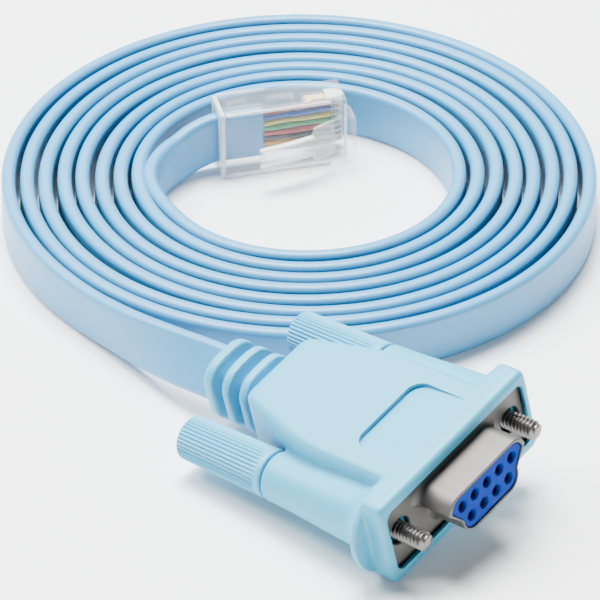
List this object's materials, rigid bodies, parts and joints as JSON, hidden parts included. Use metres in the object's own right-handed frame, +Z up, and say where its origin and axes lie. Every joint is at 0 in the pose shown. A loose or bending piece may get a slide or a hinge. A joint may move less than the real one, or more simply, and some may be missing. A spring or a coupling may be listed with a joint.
{
  "type": "rj45 console cable",
  "caption": "Flat blue console cable wound into a flat coil, with a moulded D-sub socket connector with thumbscrews on one end and a clear modular plug on the other.",
  "frame": {"origin": "middle of the D connector's footprint, on the floor that the cable lies on", "axes": "+X the way the D connector mates, in plan; +Y towards the coil; +Z up"},
  "size_m": [0.1202, 0.11, 0.0206],
  "materials": {
    "hood_plastic": "satin moulded light blue",
    "cable_jacket": "satin extruded light blue",
    "insulator_plastic": "satin moulded blue",
    "plated_steel": "nickel plated, pressed",
    "screw_steel": "plated, turned",
    "gold_plating": "gold flash",
    "clear_plastic": "clear polycarbonate",
    "wire_grey": "extruded insulation",
    "wire_orange": "extruded insulation",
    "wire_black": "extruded insulation",
    "wire_red": "extruded insulation",
    "wire_green": "extruded insulation",
    "wire_yellow": "extruded insulation",
    "wire_blue": "extruded insulation",
    "wire_brown": "extruded insulation"
  },
  "bodies": {
    "root": {"connector_hood": "hood_plastic", "connector_shell": "plated_steel", "connector_insulator": "insulator_plastic", "socket_contact_1": "gold_plating", "socket_contact_2": "gold_plating", "socket_contact_3": "gold_plating", "socket_contact_4": "gold_plating", "socket_contact_5": "gold_plating", "socket_contact_6": "gold_plating", "socket_contact_7": "gold_plating", "socket_contact_8": "gold_plating", "socket_contact_9": "gold_plating", "cable_coil": "cable_jacket", "cable_tail": "cable_jacket", "cable_lead": "cable_jacket", "plug_body": "clear_plastic", "plug_contact_1": "gold_plating", "plug_contact_2": "gold_plating", "plug_contact_3": "gold_plating", "plug_contact_4": "gold_plating", "plug_contact_5": "gold_plating", "plug_contact_6": "gold_plating", "plug_contact_7": "gold_plating", "plug_contact_8": "gold_plating", "wire_1": "wire_grey", "wire_2": "wire_orange", "wire_3": "wire_black", "wire_4": "wire_red", "wire_5": "wire_green", "wire_6": "wire_yellow", "wire_7": "wire_blue", "wire_8": "wire_brown"},
    "thumbscrew_near": {"thumbscrew_knob_near": "hood_plastic", "thumbscrew_shank_near": "screw_steel"},
    "thumbscrew_far": {"thumbscrew_knob_far": "hood_plastic", "thumbscrew_shank_far": "screw_steel"},
    "latch": {"plug_latch": "clear_plastic"}
  },
  "joints": [
    {"name": "thumbscrew_near_turn", "type": "hinge", "parent": "root", "child": "thumbscrew_near", "pos_m": [-0.00156, -0.01223, 0.00651], "axis": [0.9976, 0, 0.0698], "continuous": true},
    {"name": "thumbscrew_far_turn", "type": "hinge", "parent": "root", "child": "thumbscrew_far", "pos_m": [-0.00191, 0.01223, 0.01156], "axis": [0.9976, 0, 0.0698], "continuous": true},
    {"name": "latch_press", "type": "hinge", "parent": "root", "child": "latch", "pos_m": [-0.05538, 0.06063, 0.00584], "axis": [0, 0, -1], "range_deg": [0, 16], "stiffness_Nm_per_rad": 0.02}
  ]
}
